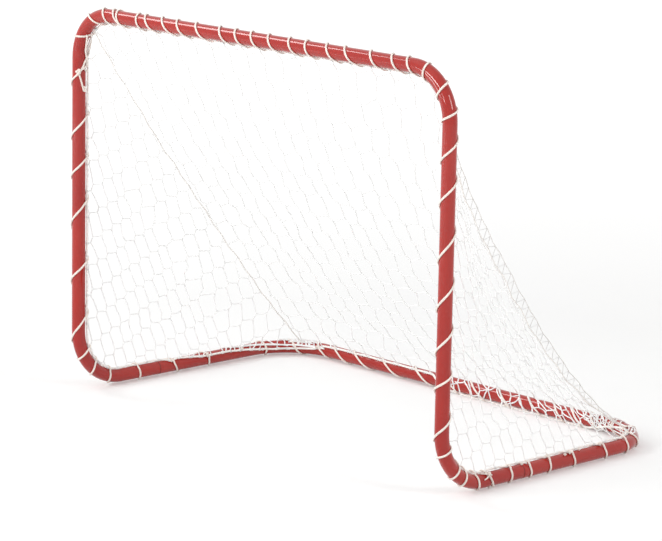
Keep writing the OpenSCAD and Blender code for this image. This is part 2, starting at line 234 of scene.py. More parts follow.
# %% [markdown]
# ## The line of the tubes
#
# Every cord on the goal follows the tubes, so the script needs one route round them: forward along the
# left foot, up the left upright, over the crossbar, down the right upright and back round the base. It is
# a chain of straight runs and quarter bends, with the same sizes as the CAD model: a run has a length, a
# corner or a lift has a radius. A place on the route is a point, the direction along it, and the direction
# outwards from the goal.

# %% Route
TUBE = 10 * MM
HALF_X = 380 * MM                   # from the middle of the goal to the axis of an upright
BASE_Z = 12.46 * MM                 # height of the base tubes' axis
FRONT_Y = -216.31 * MM              # the uprights' axis
FOOT_LONG = 152 * MM                # from there back to the joint: the foot's bend and its straight leg
RUN, CORNER, LIFT = range(3)
stretches = [
    (RUN, 72), (LIFT, 80), (RUN, 409.54), (CORNER, 68), (RUN, 624), (CORNER, 68), (RUN, 409.54),
    (LIFT, 80), (RUN, 72), (RUN, 197), (CORNER, 86), (RUN, 588), (CORNER, 86), (RUN, 197),
]


def bend_on(spot, kind, size, distance):
    point, along, outward = spot
    if kind == RUN:
        return point + along * distance, along, outward
    angle = distance / size
    if kind == CORNER:
        round_out = outward * cos(angle) + along * sin(angle)
        return point + (round_out - outward) * size, along * cos(angle) - outward * sin(angle), round_out
    up = outward.cross(along)
    risen = point + (up * (1 - cos(angle)) + along * sin(angle)) * size
    return risen, along * cos(angle) + up * sin(angle), outward


spots = [(Vector((-HALF_X, FRONT_Y + FOOT_LONG, BASE_Z)), Vector((0, -1, 0)), Vector((-1, 0, 0)))]
starts = [0.0]
for kind, size in stretches:
    long = size * MM if kind == RUN else size * MM * pi / 2
    spots.append(bend_on(spots[-1], kind, size * MM, long))
    starts.append(starts[-1] + long)
ROUND = starts[-1]
print("route:", round(ROUND, 4), "m, closes to", round((spots[-1][0] - spots[0][0]).length, 6), "m")


# %% Places beside the route
def route(s):
    s %= ROUND
    i = min(bisect_right(starts, s) - 1, len(stretches) - 1)
    return bend_on(spots[i], stretches[i][0], stretches[i][1] * MM, s - starts[i])


def beside(s, angle, radius):
    """A point at a radius from the tube's axis. 0 degrees is outwards, 90 front or down, 180 inwards."""
    point, along, outward = route(s)
    return point + (outward * cos(radians(angle)) + along.cross(outward) * sin(radians(angle))) * radius


def between(table, s):
    """Straight-line reading of a table of (millimetres along the route, value)."""
    s = s / MM
    for (a, p), (b, q) in zip(table, table[1:]):
        if s <= b:
            return p + (q - p) * max(0.0, (s - a) / (b - a))
    return table[-1][1]


print("top of the crossbar:", [round(x, 4) for x in beside((starts[4] + starts[5]) / 2, 0, TUBE)])

# %% [markdown]
# ## Cord
#
# Lacing cord is plaited from a dozen or so yarns. Modelling each yarn would cost millions of faces, so
# the cord is a plain tube, and the plait is drawn by its material. The tube is one ring of edges that is
# extruded along a line of points, ring by ring. While it grows, each ring notes how far along the cord it
# is, and that becomes a UV map: across is once round the cord, and along is counted in diameters. The
# plait then follows every bend and never stretches.

# %% Cord maker
def turned_frames(points, closed, faces=None):
    """One matrix per point: Z runs along the line. X turns as little as it can, or looks along faces."""
    count = len(points)
    made, x = [], None
    for i, p in enumerate(points):
        before = points[i - 1] if i or closed else p
        after = points[(i + 1) % count] if i + 1 < count or closed else p
        z = (after - before).normalized()
        x = faces[i] if faces else z.orthogonal() if x is None else x
        x = (x - z * x.dot(z)).normalized()
        made.append(Matrix.Translation(p) @ Matrix((x, z.cross(x), z)).transposed().to_4x4())
    return made


def new_cord_bmesh():
    bm = bmesh.new()
    bm.loops.layers.uv.new("cord")
    bm.verts.layers.int.new("side")
    return bm


store = bpy.data.meshes.new("store")


def grow_cord(whole, points, radius, sides=8, closed=False, faces=None, flat=1.0):
    """Adds a tube along the points to a bmesh, and returns its length. It grows in a bmesh of its own, which
    keeps the operators quick. Flat presses it towards faces, the directions that its flat side looks."""
    bm = new_cord_bmesh()
    uv, side = bm.loops.layers.uv["cord"], bm.verts.layers.int["side"]
    frames = turned_frames(points, closed, faces)
    if closed:
        frames.append(frames[0])
        points = [*points, points[0]]
    pressed = Matrix.Diagonal((flat, 1, 1, 1))
    ring = bmesh.ops.create_circle(bm, segments=sides, radius=radius, matrix=frames[0] @ pressed)["verts"]
    for j, v in enumerate(ring):
        v[side] = j
    edges = bm.edges[:]
    first, distance = edges, 0.0
    for i in range(1, len(frames)):
        grown = bmesh.ops.extrude_edge_only(bm, edges=edges)["geom"]
        ring = [g for g in grown if isinstance(g, bmesh.types.BMVert)]
        fresh = set(ring)
        bmesh.ops.transform(bm, matrix=frames[i] @ frames[i - 1].inverted(), verts=ring)
        edges = [g for g in grown if isinstance(g, bmesh.types.BMEdge) and fresh.issuperset(g.verts)]
        longer = distance + (points[i] - points[i - 1]).length
        for face in (g for g in grown if isinstance(g, bmesh.types.BMFace)):
            face.smooth = True
            wraps = {v[side] for v in face.verts} == {0, sides - 1}
            for loop in face.loops:
                j = sides if wraps and loop.vert[side] == 0 else loop.vert[side]
                loop[uv].uv = (j / sides, (longer if loop.vert in fresh else distance) / (2 * radius))
        distance = longer
    if not closed:
        for rim in (first, edges):
            bmesh.ops.holes_fill(bm, edges=rim, sides=0)
    bm.to_mesh(store)
    bm.free()
    whole.from_mesh(store)
    return distance


def keep_above(bm, height=0.0):
    """Nothing sinks into the floor: points that are too low are lifted to a height."""
    for v in bm.verts:
        v.co.z = max(v.co.z, height)


def finish_cord(bm, name, material, doubles=0.0):
    if doubles:
        bmesh.ops.remove_doubles(bm, verts=bm.verts, dist=doubles)
    bmesh.ops.recalc_face_normals(bm, faces=bm.faces)
    made = mesh_object(name, bm, material)
    print(f"{name}: {len(made.data.polygons)} faces")
    return made


# %% [markdown]
# ## Cord and twine materials
#
# In a plait, one half of the yarns climbs to the right and the other half to the left. Two slanting sine
# waves over the UV map do the same, and the higher of the two is the yarn on top. It drives the bump, and
# darkens the gaps between yarns, which is painted shade. Twisted twine has only one set of yarns, so it has
# one wave. The lacing is a soft cream white, the net's twine is whiter, and both have the faint bloom of
# fibre, which is sheen.
#
# A small emission in the border cord and the net's twine is painted light: a glow that lifts their shaded
# sides towards white.

# %% Plait and twist
def wave(tree, across, along, turns, rise):
    a = node(tree, "Math", {1: turns}, {0: across}, operation="MULTIPLY")
    b = node(tree, "Math", {1: rise}, {0: along}, operation="MULTIPLY")
    angle = node(tree, "Math", links={0: a.outputs[0], 1: b.outputs[0]}, operation="ADD")
    full = node(tree, "Math", {1: 2 * pi}, {0: angle.outputs[0]}, operation="MULTIPLY")
    return node(tree, "Math", links={0: full.outputs[0]}, operation="SINE").outputs[0]


def fibre_material(name, low, high, turns, rise, plaited, depth, fuzz_scale, painted_glow=0.0):
    """Low and high are the colours of gap and yarn. Turns and rise slant the yarns. Depth is their relief."""
    made = bpy.data.materials.new(name)
    tree = nodes_of(made)
    spread = node(tree, "SeparateXYZ", links={0: node(tree, "UVMap", uv_map="cord").outputs[0]})
    yarn = wave(tree, spread.outputs[0], spread.outputs[1], turns, rise)
    if plaited:
        other = wave(tree, spread.outputs[0], spread.outputs[1], turns, -rise)
        yarn = node(tree, "Math", links={0: yarn, 1: other}, operation="MAXIMUM").outputs[0]
    place = node(tree, "TexCoord").outputs["Object"]
    fuzz = node(tree, "TexNoise", {"Scale": fuzz_scale, "Detail": 3.0, "Roughness": 0.6}, {"Vector": place})
    dirt = node(tree, "TexNoise", {"Scale": 14.0, "Detail": 3.0}, {"Vector": place})
    # The darker gaps between yarns are painted shade, and the slow noise mixed in is dirt.
    shade = node(tree, "MapRange", {"From Min": -0.6, "From Max": 0.9}, {"Value": yarn})
    shade_and_dirt = node(tree, "Math", {1: 0.5}, {0: shade.outputs["Result"], 2: dirt.outputs["Fac"]},
                 operation="MULTIPLY_ADD")
    colour = two_tone(tree, shade_and_dirt.outputs[0], low, high, 0.35, 0.75)
    height = node(tree, "Math", {1: 0.3}, {0: fuzz.outputs["Fac"], 2: yarn}, operation="MULTIPLY_ADD")
    bump = node(tree, "Bump", {"Strength": 0.7, "Distance": depth}, {"Height": height.outputs[0]})
    # The emission is painted light: a small glow that lifts the shaded sides of white cord and twine.
    thread = node(tree, "BsdfPrincipled",
                  {"Roughness": 0.82, "IOR": 1.45, "Sheen Weight": 0.25, "Sheen Roughness": 0.5,
                   "Subsurface Weight": 0.1, "Subsurface Radius": (2 * MM, 2 * MM, 2 * MM),
                   "Subsurface Scale": 0.5,
                   "Emission Color": (1, 1, 1, 1), "Emission Strength": painted_glow},
                  {"Base Color": colour, "Normal": bump.outputs["Normal"]})
    node(tree, "OutputMaterial", links={"Surface": thread.outputs[0]})
    return made


# The first colour of each is the painted shade in the gaps between yarns.
lacing_cord = fibre_material("plaited_lacing", (0.84, 0.73, 0.66), (0.97, 0.88, 0.81),
                             4, 0.55, True, 0.22 * MM, 1500)
border_cord = fibre_material("border_cord", (0.91, 0.86, 0.81), (0.97, 0.93, 0.89),
                             3, 0.40, False, 0.35 * MM, 1300, painted_glow=0.07)
twine = fibre_material("net_twine", (0.93, 0.93, 0.92), (0.97, 0.97, 0.96),
                       2, 0.35, False, 0.18 * MM, 2600, painted_glow=0.06)
print("fibre materials:", lacing_cord.name, border_cord.name, twine.name)

# %% [markdown]
# ## Where the lacing turns
#
# The net is laced on by hand, so no two turns are the same distance apart. The list below is the length
# along the tubes, in millimetres, at which each turn crosses the side of the tube that faces the corner
# view, and how far the cord runs on in a hundred degrees there. The lacing is then one long helix: its
# turns are joined by smooth curves behind the tubes. Each turn is pinned at two angles, a little before and
# a little after the side that is seen. At the end knot, one turn ends early and runs along the upright.

# %% Turns of the lacing
turns = [
    (41, 2), (100, 4), (135, 10), (163, 8), (205, 24), (291, 18), (380, 22), (447, 18), (507, 20), (585, 16),
    (645, 12), (686, 13), (714, 11), (738, 15), (744, 8), (788, 6), (809, 14), (847, 17), (878, 14), (919, 15),
    (968, 13), (1000, 12), (1033, 12), (1068, 12), (1109, 11), (1141, 8), (1184, 13), (1220, 15), (1268, 13),
    (1308, 12), (1336, 10), (1365, 5), (1401, 7), (1435, 7), (1480, 17), (1534, 19), (1606, 23), (1671, 22),
    (1731, 19), (1786, 12), (1849, 17), (1882, 4), (1917, 4), (1936, 4), (1962, 8), (1986, 10), (2027, -1),
    (2064, 3), (2103, 0), (2151, 4), (2215, 6), (2261, 1), (2289, 3), (2332, 8), (2372, 12), (2412, 16),
    (2447, 18), (2482, 19), (2531, 25), (2591, 22), (2647, 26), (2700, 24), (2763, 28), (2834, 29),
    (2898, 28), (2944, 25), (2985, 20), (3034, 14), (3089, 3), (3144, 13), (3208, 5), (3276, 11),
]
facing = [(-300, 198), (72, 198), (198, 141), (607, 141), (714, 79), (1338, 79), (1445, 46), (1854, 46),
          (1980, -22), (2249, -22), (2384, -161), (3700, -162)]
WHOLE = 360 * (len(turns) - 1)
PINNED, TURN_AT_KNOT = 60, 585

knots = []  # (total angle, distance along the route, rise in metres per degree)
for lap in (-1, 0, 1):
    for k, (s, run) in enumerate(turns):
        angle = between(facing, s * MM) + 360 * k + WHOLE * lap
        for side in (-PINNED, PINNED):
            knots.append((angle + side, (s + run * side / 100) * MM + ROUND * lap, run * MM / 100))
        if s == TURN_AT_KNOT:
            knots[-1] = (angle + 24, 592 * MM + ROUND * lap, 0.3 * MM)
            knots.append((angle + 78, 612 * MM + ROUND * lap, 0.3 * MM))
            knots.append((angle + 92, 640 * MM + ROUND * lap, 0.1 * MM))
knots.sort()
knot_angles = [k[0] for k in knots]
print(len(turns), "turns of lacing in", round(ROUND, 2), "m of tube")


# %% Reading the helix
def lace_distance(angle):
    """How far along the route the lacing is, at a total angle in degrees."""
    i = bisect_right(knot_angles, angle) - 1
    (a, p, m), (b, q, n) = knots[i], knots[i + 1]
    h = b - a
    t = (angle - a) / h
    return (p * (2 * t ** 3 - 3 * t ** 2 + 1) + m * h * (t ** 3 - 2 * t ** 2 + t)
            + q * (3 * t ** 2 - 2 * t ** 3) + n * h * (t ** 3 - t ** 2))


def lace_angle(s, low=-700, high=WHOLE + 900):
    """The total angle at which the lacing reaches a distance, found by halving."""
    while high - low > 0.01:
        middle = (low + high) / 2
        low, high = (middle, high) if lace_distance(middle) < s else (low, middle)
    return low


# %% [markdown]
# ## Border cord
#
# A thicker cord runs through the outermost meshes of the net, all the way round. The lacing holds it to
# the tube at every turn, and the net pulls it away in between, which makes a row of shallow bows. On the
# uprights it lies behind the tube, under the crossbar it hangs lowest, and on the base it lies on top, but
# along the right half of the rear bar it lies under the tube. The first list gives its angle round the tube
# along the route. Where the lacing holds it on the right side tube, it is pulled round by the second list.

# %% Border cord
LACE, BORDER, FLAT = 1.55 * MM, 1.6 * MM, 0.72  # two radii, and how flat the lacing is pressed
MOST_BOW, AIR = 1.2 * MM, 0.05 * MM  # how far the cord bows between two turns, and its gap to the paint
BORDER_STEPS = 840
border_side = [
    (-20, 268), (40, 268), (80, 258), (125, 238), (198, 229), (607, 229), (714, 203), (1338, 203), (1445, 226),
    (1854, 228), (1980, 256), (2249, 262), (2300, 240), (2384, 180), (2430, 118), (2690, 116), (2712, 160),
    (2735, 225), (2763, 229), (2900, 232), (2951, 230), (2977, 221), (2996, 190), (3035, 180), (3073, 178),
    (3101, 187), (3129, 203), (3147, 210), (3166, 216), (3174, 216), (3219, 217), (3249, 232), (3268, 244),
    (3281, 231), (3290, 252), (3304, 268),
]
pull = [(-300, 0), (1854, 0), (1980, 12), (2064, 32), (2249, 30), (2290, 0), (3700, 0)]


def held_at():
    """Where the lacing crosses the border cord, along the whole route."""
    found = []
    for turn in range(-2, len(turns) + 2):
        angle = 225 + 360 * turn  # a first guess, made better four times
        for _ in range(4):
            angle = between(border_side, lace_distance(angle) % ROUND) + 360 * turn
        found.append(lace_distance(angle))
    return sorted(found)


holds = held_at()


def border_place(s):
    i = bisect_right(holds, s) - 1
    gap = holds[i + 1] - holds[i]
    u = (s - holds[i]) / gap
    bow = sin(pi * u) ** 0.8 * min(MOST_BOW, 0.03 * gap)
    angle = between(border_side, s % ROUND) + between(pull, s % ROUND) * (1 - min(1, 3.2 * sin(pi * u)))
    return beside(s, angle, TUBE + BORDER + AIR + bow)


border_points = [border_place(ROUND * i / BORDER_STEPS) for i in range(BORDER_STEPS)]
bm = new_cord_bmesh()
long = grow_cord(bm, border_points, BORDER, sides=8, closed=True)
keep_above(bm)
border = finish_cord(bm, "border_cord", border_cord, doubles=1e-5)
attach(border, "root")
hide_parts("edge_cord")
print("border cord:", round(long, 3), "m, held at", len(holds), "places")

# %% [markdown]
# ## Lacing
#
# The lacing goes over the border cord wherever they cross, so its distance from the tube's axis rises
# there in a smooth hump. It is made in the same six lengths as in the CAD model. Five of them meet end to
# end. The first one begins a turn too late, because the search in lace_angle starts at -700 degrees and
# that length begins at -1075, so one turn is missing on the left side tube.

# %% Lacing
HUMP, HUMP_HALF = 3.5 * MM, 42  # its height, and half its width in degrees


def lace_place(angle):
    s = lace_distance(angle)
    off = (angle - between(border_side, s % ROUND) - between(pull, s % ROUND) + 180) % 360 - 180
    hump = cos(min(abs(off) / HUMP_HALF, 1) * pi / 2) ** 2 * HUMP
    return beside(s, angle, TUBE + LACE * FLAT + hump), beside(s, angle, 1) - beside(s, angle, 0)


LACE_STEP = 14  # degrees
lengths = {
    "lacing_left_side": (3107.2 - 3304.2, 197.7), "lacing_left_post": (197.7, 660.6),
    "lacing_crossbar": (660.6, 1391.4), "lacing_right_post": (1391.4, 1854.4),
    "lacing_right_side": (1854.4, 2249.0), "lacing_rear_bar": (2249.0, 3107.2),
}
for name, (low, high) in lengths.items():
    a, b = lace_angle(low * MM), lace_angle(high * MM)
    steps = ceil((b - a) / LACE_STEP)
    points, faces = zip(*(lace_place(a + (b - a) * i / steps) for i in range(steps + 1)))
    bm = new_cord_bmesh()
    long = grow_cord(bm, points, LACE, sides=8, faces=faces, flat=FLAT)
    keep_above(bm)
    cord = finish_cord(bm, name.replace("lacing", "laced"), lacing_cord)
    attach(cord, "root")
    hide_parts(name)
    print(f"   {round((b - a) / 360, 1)} turns, {round(long, 3)} m of cord")

# %% [markdown]
# ## Seams
#
# The side panels meet the back along a seam from each top corner to the rear corner below it. A thin cord
# is threaded through both edges, and it sags under the net's weight. On the right the edges overlap by a
# finger's breadth and are sewn with zigzag stitches of twine, so there a second, thinner line runs above
# the seam. Each mesh that the cord passes pulls a small kink in it.

# %% Seam lines
SEAM, SELVEDGE, STITCH, TWINE = 1.0 * MM, 0.65 * MM, 0.45 * MM, 0.8 * MM  # radii
SAG = {-1: 13 * MM, 1: 57 * MM}  # -1 is the left side and 1 the right
SEAM_STEPS, STITCHES = 180, 74
seam_ends = {-1: ((starts[3] + starts[4]) / 2, 3020 * MM), 1: ((starts[5] + starts[6]) / 2, 2330 * MM)}


def slack_at(t):
    """The shape of a sagging line, from 0 at its ends to 1 in the middle."""
    return 1 - abs(2 * t - 1) ** 2.7


def seam_point(side, t, sag=None):
    top, rear = (border_place(s) for s in seam_ends[side])
    rear.z = max(rear.z, 2.2 * TUBE)
    line = rear - top
    down = Vector((0, line.z, -line.y)).normalized()
    return top.lerp(rear, t) + down * (SAG[side] if sag is None else sag) * slack_at(t)


def seam_line(side, sag, kinks, depth):
    points = []
    for i in range(SEAM_STEPS + 1):
        t = i / SEAM_STEPS
        slack = min(1, 12 * t * (1 - t))
        kink = (abs((t * kinks) % 2 - 1) - 0.5) * depth * slack
        points.append(seam_point(side, t, sag) + Vector((kink * 0.6, 0, kink))
                      + noise.noise_vector(seam_point(side, t) * 25) * 1.3 * MM * slack)
    return points


seam_lines = {-1: seam_line(-1, None, 26, 2.4 * MM), 1: seam_line(1, None, 22, 3.2 * MM)}
selvedge = seam_line(1, 43 * MM, 30, 1.6 * MM)
print("seams:", [round(sum((b - a).length for a, b in zip(p, p[1:])), 3) for p in seam_lines.values()], "m")

# %% Seam cords
for side, name in ((-1, "left"), (1, "right")):
    bm = new_cord_bmesh()
    grow_cord(bm, seam_lines[side], SEAM, sides=7)
    if side > 0:
        grow_cord(bm, selvedge, SELVEDGE, sides=6)
        zigzag = []
        for i in range(STITCHES + 1):
            spot = round((0.03 + 0.95 * i / STITCHES) * SEAM_STEPS)
            stray = noise.noise_vector(Vector((i, 7, 3))) * 1.5 * MM
            zigzag.append((selvedge if i % 2 else seam_lines[1])[spot] + stray)
        grow_cord(bm, zigzag, STITCH, sides=5)
    cord = finish_cord(bm, f"{name}_seam", border_cord)
    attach(cord, "root")
    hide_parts(f"{name}_seam_cord")

# %% [markdown]
# ## Netting
#
# The net is knotless netting: each mesh has six sides, two of which are short joints where neighbouring
# twines run together. It is hung aslant, so one set of bars runs down and the other nearly level. Flat, it
# is a plain bmesh grid: every upright edge stays, every second level edge goes, and the points are shifted
# to the real meshes. Bisect planes then cut the panel to size, as scissors would. The points are moved to
# the hung surface, the cut ends are tied to the nearest border or seam cord, and their neighbours follow.
# The lines become tubes by way of a curve with a round bevel.

# %% Flat netting
STRAND, JOINT, RUNG = range(3)


def flat_netting(columns, rows, across, down, joint, origin, cuts):
    """A wire lattice in the XY plane, with Y downwards on the panel. Across and down are the steps from mesh to
    mesh, and joint is the line of a joint. Cuts are (point, outward normal)."""
    bm = bmesh.new()
    kind = bm.edges.layers.int.new("kind")
    levels = 2 * rows + columns
    bmesh.ops.create_grid(bm, x_segments=columns, y_segments=levels, size=0.5)
    places = {}
    for v in bm.verts:
        i, level = round((v.co.x + 0.5) * columns), round((v.co.y + 0.5) * levels)
        places[v] = (i, level - i)
    bmesh.ops.delete(bm, geom=bm.faces[:], context="FACES_ONLY")
    spare = []
    for e in bm.edges:
        (i, m), (j, n) = sorted(places[v] for v in e.verts)
        if i == j:
            e[kind] = JOINT if min(m, n) % 2 == 0 else STRAND
        elif m % 2:
            e[kind] = RUNG
        else:
            spare.append(e)
    bmesh.ops.delete(bm, geom=spare, context="EDGES")
    for v, (i, m) in places.items():
        spot = origin + across * i + down * (m // 2) + joint * (0.5 if m % 2 else -0.5)
        v.co = (spot.x, spot.y, 0)
    for point, normal in cuts:
        bmesh.ops.bisect_plane(bm, geom=bm.verts[:] + bm.edges[:], plane_co=(*point, 0), plane_no=(*normal, 0),
                               clear_outer=True, dist=1e-7)
    loose = [v for v in bm.verts if not v.link_edges]
    bmesh.ops.delete(bm, geom=loose, context="VERTS")
    rim = bm.verts.layers.int.new("rim")
    for v in bm.verts:
        v[rim] = 1 if len(v.link_edges) == 1 else 0
    bmesh.ops.subdivide_edges(bm, edges=[e for e in bm.edges if e[kind] != JOINT], cuts=2)
    for _ in range(2):  # smooths the corners of the meshes
        bmesh.ops.smooth_vert(bm, verts=[v for v in bm.verts if not v[rim]], factor=0.35,
                              use_axis_x=True, use_axis_y=True, use_axis_z=True)
    return bm


def flat_mm(x, y):
    return Vector((x * MM, y * MM))


# %% [markdown]
# ## The foot of the net
#
# On the right half of the rear bar the border cord lies under the tube, and the last meshes are drawn
# over the top and down the inner side to reach it. On the left half it lies on top. Each twine of the foot is
# a short list of places on the tube: millimetres along the route, and the angle round it. At both rear
# corners the twines cross and share places, and a spare end of cord lies along the bar on the left.

# %% Twines over the rear bar
foot = [
    [(2483, 203), (2491, 192), (2500, 181)],
    [(2538, 285), (2529, 257), (2516, 226), (2506, 199), (2501, 181), (2503, 149), (2506, 116)],
    [(2572, 285), (2567, 268), (2560, 241), (2558, 222), (2554, 188), (2548, 149), (2545, 116)],
    [(2558, 218), (2560, 197), (2565, 177), (2578, 149), (2586, 116)],
    [(2613, 285), (2608, 257), (2604, 232), (2597, 199), (2589, 171), (2584, 145), (2586, 116)],
    [(2616, 285), (2613, 268), (2614, 247), (2616, 229), (2622, 220)],
    [(2645, 285), (2637, 262), (2629, 239), (2622, 220), (2624, 189), (2627, 155), (2634, 116)],
    [(2680, 285), (2676, 268), (2672, 238), (2662, 205), (2656, 175), (2656, 149), (2660, 116)],
    [(2672, 245), (2674, 229), (2680, 218), (2688, 214)],
    [(2706, 285), (2700, 252), (2695, 219), (2690, 189), (2690, 149), (2697, 116)],
    [(3139, 217), (3136, 232), (3128, 262), (3122, 290)], [(3152, 222), (3150, 250), (3152, 290)],
    [(3171, 218), (3167, 244), (3159, 288)], [(3219, 218), (3214, 236), (3203, 284)],
    [(3240, 229), (3246, 250), (3250, 286)], [(3240, 229), (3232, 252), (3226, 288)],
    [(3118, 197), (3107, 232), (3102, 262), (3101, 290)], [(3089, 186), (3089, 205), (3088, 224)],
    [(3046, 199), (3058, 209), (3067, 216), (3088, 224), (3108, 234), (3130, 249), (3140, 262)],
    [(2987, 211), (2992, 240), (2997, 284)], [(2997, 203), (3001, 240), (3004, 286)],
    [(3007, 204), (3008, 236), (3012, 284)], [(3014, 206), (3016, 240), (3018, 288)],
    [(3022, 209), (3022, 236), (3026, 286)], [(3030, 200), (3030, 232), (3034, 288)],
    [(3037, 192), (3037, 220), (3040, 250), (3044, 288)], [(3052, 200), (3052, 236), (3054, 286)],
    [(3073, 221), (3078, 250), (3082, 290)], [(2962, 232), (2970, 262), (2975, 286)],
    [(3000, 214), (3016, 208), (3030, 212), (3046, 206)],
    [(3003, 232), (3010, 238), (3020, 234), (3031, 240), (3046, 234)],
]

# %% Twines at the right rear corner
foot += [
    [(2497, 285), (2489, 262), (2478, 238), (2474, 220), (2466, 188), (2458, 176), (2450, 164), (2448, 116)],
    [(2466, 285), (2458, 244), (2448, 208), (2440, 168), (2434, 140), (2432, 118)],
    [(2456, 285), (2452, 268), (2442, 228), (2430, 212), (2422, 204), (2418, 190), (2410, 180), (2402, 192)],
    [(2440, 285), (2430, 252), (2428, 224), (2430, 212)],
    [(2426, 285), (2420, 248), (2418, 208), (2422, 204)],
    [(2420, 248), (2406, 232), (2402, 200)], [(2408, 285), (2404, 236), (2402, 200)],
    [(2402, 192), (2398, 168), (2404, 116)], [(2410, 180), (2410, 144), (2406, 114)],
    [(2396, 180), (2398, 144), (2397, 116), (2390, 160)], [(2386, 180), (2384, 144), (2382, 116)],
    [(2388, 248), (2386, 208), (2386, 180), (2374, 172), (2358, 164), (2334, 168)],
    [(2378, 224), (2380, 196), (2374, 172)], [(2374, 285), (2370, 236), (2370, 208), (2368, 168), (2370, 116)],
    [(2380, 236), (2370, 236), (2356, 232), (2348, 208), (2342, 180)], [(2364, 288), (2356, 232)],
    [(2354, 236), (2340, 240), (2328, 256), (2304, 228)], [(2328, 256), (2332, 290)],
    [(2300, 264), (2316, 268), (2326, 288), (2302, 290), (2294, 278), (2304, 262), (2314, 276)],
    [(2294, 232), (2290, 262), (2294, 286)],
]
spare_cord = [
    (3172, 290), (3160, 262), (3146, 246), (3135, 240), (3119, 233), (3095, 220), (3069, 210), (3042, 207),
    (3024, 205), (3005, 203), (2990, 203), (2975, 206),
]

# %% Paths on the tube
HEEL, PANEL_FOOT = 285, 280  # angles on the rear bar: where a foot's twine starts, and where the panel ends


def smooth_path(knots, steps=6):
    """A Catmull-Rom curve through a short list of tuples."""
    ends = [knots[0], *knots, knots[-1]]
    made = []
    for i in range(1, len(ends) - 2):
        for j in range(steps):
            t = j / steps
            made.append(tuple(
                0.5 * (2 * b + (c - a) * t + (2 * a - 5 * b + 4 * c - d) * t * t
                       + (3 * b - a - 3 * c + d) * t ** 3)
                for a, b, c, d in zip(*ends[i - 1:i + 3])))
    return [*made, tuple(knots[-1])]


def on_bar(knots, lift):
    """A path at one height above the paint, through (millimetres along the route, angle)."""
    return [beside(s * MM, angle, TUBE + lift) for s, angle in smooth_path(knots)]


def laid(knots):
    """A path whose third number is the height of the cord's line above the paint, in millimetres."""
    return [beside(s * MM, angle, TUBE + lift * MM) for s, angle, lift in smooth_path(knots, 4)]


heels = [beside(path[0][0] * MM, HEEL, TUBE + TWINE) for path in foot if path[0][1] == HEEL]
print(len(foot), "twines,", len(heels), "of them go over the bar")

# %% [markdown]
# ## The gathers
#
# There is more net than tube at the two rear corners, so the spare meshes bunch up there, over and under the
# single twines of the foot. For each corner a small patch of the same lattice is squeezed round the tube: its
# across direction goes along the tube, its down direction goes round it, and noise breaks up the rows. The
# twines and both patches are one piece.

# %% Gathered meshes
FOOT_TWINE, SPARE, SHORTEST = TWINE * 1.25, 1.3 * MM, 0.3 * MM


def gather(bm, low, high, top, bottom, columns, rows, seed, lift):
    """Squeezes a patch of netting round the tube, between two distances and two angles."""
    patch = flat_netting(columns, rows, Vector((1 / columns, -0.3 / rows)),
                         Vector((-0.12 / columns, 1 / rows)), Vector((0.1 / columns, 0.3 / rows)),
                         Vector((0.05, -0.1)),
                         [((0, 0), (0, -1)), ((0, 1), (0, 1)), ((0, 0), (-1, 0)), ((1, 0), (1, 0))])
    for v in patch.verts:
        x, y = v.co.x, v.co.y
        stray = noise.noise_vector(Vector((x * columns * 0.9, y * rows * 0.9, seed))) * 0.75  # in meshes
        x += stray.x / columns
        y = min(1, max(0, y + stray.y / rows))
        squeezed = 0.5 + (x - 0.5) * (0.62 + 0.9 * abs(x - 0.5))
        s = low + (high - low) * max(0, min(1, squeezed))
        v.co = beside(s * MM, top + (bottom - top) * y, TUBE + lift + abs(stray.z) * 1.2 * MM)
        v.co.z = max(v.co.z, TWINE)
    for places in sorted(sorted(tuple(v.co) for v in e.verts) for e in patch.edges):
        a, b = (Vector(place) for place in places)
        if (b - a).length > SHORTEST:
            grow_cord(bm, [a, (a + b) / 2 + noise.noise_vector(a * 90) * 0.5 * MM, b], TWINE, sides=5)
    patch.free()


bm = new_cord_bmesh()
for path in foot:
    grow_cord(bm, on_bar(path, TWINE * 1.2), FOOT_TWINE, sides=6)
grow_cord(bm, on_bar(spare_cord, SPARE), SPARE, sides=6)
gather(bm, 2384, 2426, 256, 140, 5, 4, 5, 2.2 * MM)
gather(bm, 2994, 3060, 290, 205, 6, 3, 12, 1.6 * MM)
keep_above(bm, 0.2 * MM)
gathers = finish_cord(bm, "net_foot", twine)
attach(gathers, "root")

# %% [markdown]
# ## Hanging a panel
#
# A net hangs from the cords at its edge. Each panel has a smooth hung surface, and every point of the flat
# lattice is moved there first. Then each cut end is tied to the nearest point of a cord, a seam or a heel of
# the foot. The points near a tied end are pulled along with it, more the nearer they are, and further in a
# slow noise makes the meshes as uneven as hand hung ones. The tied ends are kept for the hitches.

# %% Hanging and tying
def tree_of(points):
    """A search tree, which finds the nearest of many points quickly."""
    tree = kdtree.KDTree(len(points))
    for i, p in enumerate(points):
        tree.insert(p, i)
    tree.balance()
    return tree


BARE = (2330, 2725)  # along here the border lies under the rear bar, and the panel itself doesn't reach it
tie_points = [p for i, p in enumerate(border_points)
              if not BARE[0] < i * ROUND / BORDER_STEPS / MM < BARE[1]]
tie_points += [beside(s * MM, HEEL, TUBE + TWINE) for s in range(2340, 2470, 6)]
tie_points += [*heels, *seam_lines[-1], *seam_lines[1]]
tie_tree = tree_of(tie_points)
tied = []


